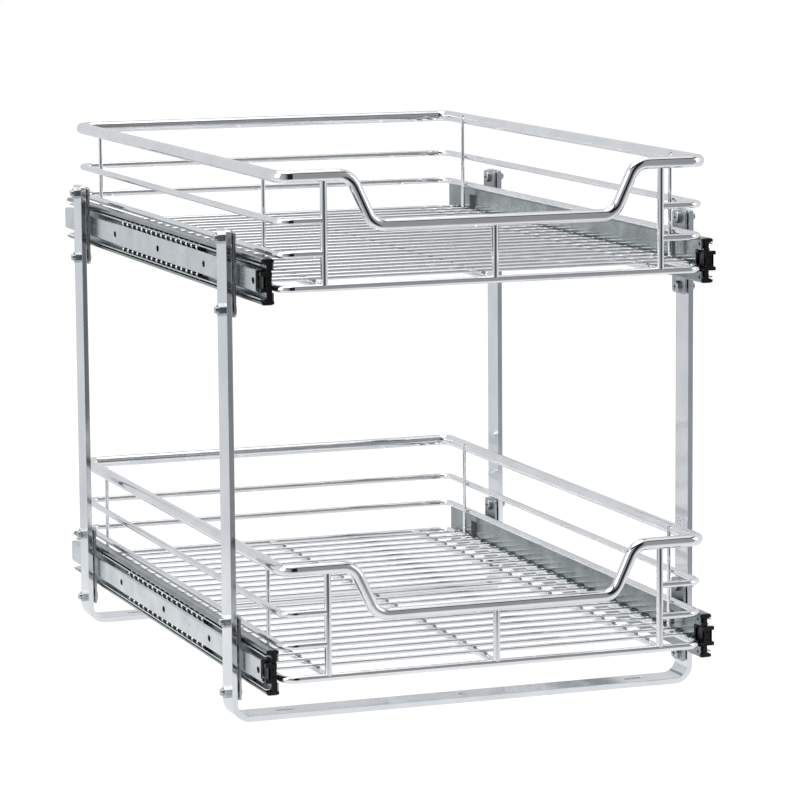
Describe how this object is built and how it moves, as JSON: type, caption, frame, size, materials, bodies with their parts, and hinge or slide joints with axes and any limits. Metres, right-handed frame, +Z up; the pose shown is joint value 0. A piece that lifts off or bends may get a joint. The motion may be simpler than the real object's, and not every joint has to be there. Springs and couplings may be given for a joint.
{
  "type": "pull out cabinet basket",
  "caption": "Two-tier pull out cabinet basket: chrome wire baskets on ball-bearing slides, hung between two U-shaped flat bar hoops that screw to a cabinet floor.",
  "frame": {"origin": "bottom centre of the whole object with both baskets closed, on the cabinet floor", "axes": "+X to the right as seen from the front, the baskets pull out along -Y, +Z up"},
  "size_m": [0.379, 0.532, 0.4085],
  "materials": {
    "chrome_flat_bar": "chrome plated flat bar",
    "chrome_rod": "bright chrome plated rod and wire",
    "zinc_plate": "zinc plated sheet steel",
    "zinc_fastener": "zinc plated fasteners",
    "zinc_slide": "bright zinc plated roll-formed sheet",
    "bearing_steel": "polished bearing steel",
    "black_cage": "moulded plastic ball retainer",
    "black_plastic": "moulded plastic"
  },
  "bodies": {
    "root": {"front_hoop": "chrome_flat_bar", "rear_hoop": "chrome_flat_bar", "upper_plates": "zinc_plate", "lower_plates": "zinc_plate", "plate_bolts": "zinc_fastener", "plate_nuts": "zinc_fastener", "plate_washers": "zinc_fastener", "slide_rivets": "zinc_fastener", "upper_left_fixed_slide": "zinc_slide", "upper_right_fixed_slide": "zinc_slide", "lower_left_fixed_slide": "zinc_slide", "lower_right_fixed_slide": "zinc_slide"},
    "upper_basket": {"upper_left_channel": "zinc_slide", "upper_left_bumper": "black_plastic", "upper_right_channel": "zinc_slide", "upper_right_bumper": "black_plastic", "upper_web_plugs": "black_plastic", "upper_rim": "chrome_rod", "upper_high_rail": "chrome_rod", "upper_low_rail": "chrome_rod", "upper_floor_rail": "chrome_rod", "upper_floor_wires": "chrome_rod", "upper_floor_supports": "chrome_rod", "upper_uprights": "chrome_rod", "upper_side_stays": "chrome_rod"},
    "upper_left_middle": {"upper_left_mid_slide": "zinc_slide"},
    "upper_left_inner_race": {"upper_left_inner_cage": "black_cage", "upper_left_inner_balls": "bearing_steel"},
    "upper_left_outer_race": {"upper_left_outer_cage": "black_cage", "upper_left_outer_balls": "bearing_steel"},
    "upper_right_middle": {"upper_right_mid_slide": "zinc_slide"},
    "upper_right_inner_race": {"upper_right_inner_cage": "black_cage", "upper_right_inner_balls": "bearing_steel"},
    "upper_right_outer_race": {"upper_right_outer_cage": "black_cage", "upper_right_outer_balls": "bearing_steel"},
    "lower_basket": {"lower_left_channel": "zinc_slide", "lower_left_bumper": "black_plastic", "lower_right_channel": "zinc_slide", "lower_right_bumper": "black_plastic", "lower_web_plugs": "black_plastic", "lower_rim": "chrome_rod", "lower_high_rail": "chrome_rod", "lower_low_rail": "chrome_rod", "lower_floor_rail": "chrome_rod", "lower_floor_wires": "chrome_rod", "lower_floor_supports": "chrome_rod", "lower_uprights": "chrome_rod", "lower_side_stays": "chrome_rod"},
    "lower_left_middle": {"lower_left_mid_slide": "zinc_slide"},
    "lower_left_inner_race": {"lower_left_inner_cage": "black_cage", "lower_left_inner_balls": "bearing_steel"},
    "lower_left_outer_race": {"lower_left_outer_cage": "black_cage", "lower_left_outer_balls": "bearing_steel"},
    "lower_right_middle": {"lower_right_mid_slide": "zinc_slide"},
    "lower_right_inner_race": {"lower_right_inner_cage": "black_cage", "lower_right_inner_balls": "bearing_steel"},
    "lower_right_outer_race": {"lower_right_outer_cage": "black_cage", "lower_right_outer_balls": "bearing_steel"}
  },
  "joints": [
    {"name": "upper_basket_slide", "type": "slide", "parent": "root", "child": "upper_basket", "axis": [0, -1, 0], "range_m": [0, 0.44]},
    {"name": "upper_left_middle_slide", "type": "slide", "parent": "root", "child": "upper_left_middle", "axis": [0, -1, 0], "range_m": [0, 0.22]},
    {"name": "upper_left_inner_race_slide", "type": "slide", "parent": "root", "child": "upper_left_inner_race", "axis": [0, -1, 0], "range_m": [0, 0.11]},
    {"name": "upper_left_outer_race_slide", "type": "slide", "parent": "root", "child": "upper_left_outer_race", "axis": [0, -1, 0], "range_m": [0, 0.33]},
    {"name": "upper_right_middle_slide", "type": "slide", "parent": "root", "child": "upper_right_middle", "axis": [0, -1, 0], "range_m": [0, 0.22]},
    {"name": "upper_right_inner_race_slide", "type": "slide", "parent": "root", "child": "upper_right_inner_race", "axis": [0, -1, 0], "range_m": [0, 0.11]},
    {"name": "upper_right_outer_race_slide", "type": "slide", "parent": "root", "child": "upper_right_outer_race", "axis": [0, -1, 0], "range_m": [0, 0.33]},
    {"name": "lower_basket_slide", "type": "slide", "parent": "root", "child": "lower_basket", "axis": [0, -1, 0], "range_m": [0, 0.44]},
    {"name": "lower_left_middle_slide", "type": "slide", "parent": "root", "child": "lower_left_middle", "axis": [0, -1, 0], "range_m": [0, 0.22]},
    {"name": "lower_left_inner_race_slide", "type": "slide", "parent": "root", "child": "lower_left_inner_race", "axis": [0, -1, 0], "range_m": [0, 0.11]},
    {"name": "lower_left_outer_race_slide", "type": "slide", "parent": "root", "child": "lower_left_outer_race", "axis": [0, -1, 0], "range_m": [0, 0.33]},
    {"name": "lower_right_middle_slide", "type": "slide", "parent": "root", "child": "lower_right_middle", "axis": [0, -1, 0], "range_m": [0, 0.22]},
    {"name": "lower_right_inner_race_slide", "type": "slide", "parent": "root", "child": "lower_right_inner_race", "axis": [0, -1, 0], "range_m": [0, 0.11]},
    {"name": "lower_right_outer_race_slide", "type": "slide", "parent": "root", "child": "lower_right_outer_race", "axis": [0, -1, 0], "range_m": [0, 0.33]}
  ],
  "couplings": [
    {"joint": "upper_left_middle_slide", "follows": "upper_basket_slide", "ratio": 0.5},
    {"joint": "upper_left_inner_race_slide", "follows": "upper_basket_slide", "ratio": 0.25},
    {"joint": "upper_left_outer_race_slide", "follows": "upper_basket_slide", "ratio": 0.75},
    {"joint": "upper_right_middle_slide", "follows": "upper_basket_slide", "ratio": 0.5},
    {"joint": "upper_right_inner_race_slide", "follows": "upper_basket_slide", "ratio": 0.25},
    {"joint": "upper_right_outer_race_slide", "follows": "upper_basket_slide", "ratio": 0.75},
    {"joint": "lower_left_middle_slide", "follows": "lower_basket_slide", "ratio": 0.5},
    {"joint": "lower_left_inner_race_slide", "follows": "lower_basket_slide", "ratio": 0.25},
    {"joint": "lower_left_outer_race_slide", "follows": "lower_basket_slide", "ratio": 0.75},
    {"joint": "lower_right_middle_slide", "follows": "lower_basket_slide", "ratio": 0.5},
    {"joint": "lower_right_inner_race_slide", "follows": "lower_basket_slide", "ratio": 0.25},
    {"joint": "lower_right_outer_race_slide", "follows": "lower_basket_slide", "ratio": 0.75}
  ]
}
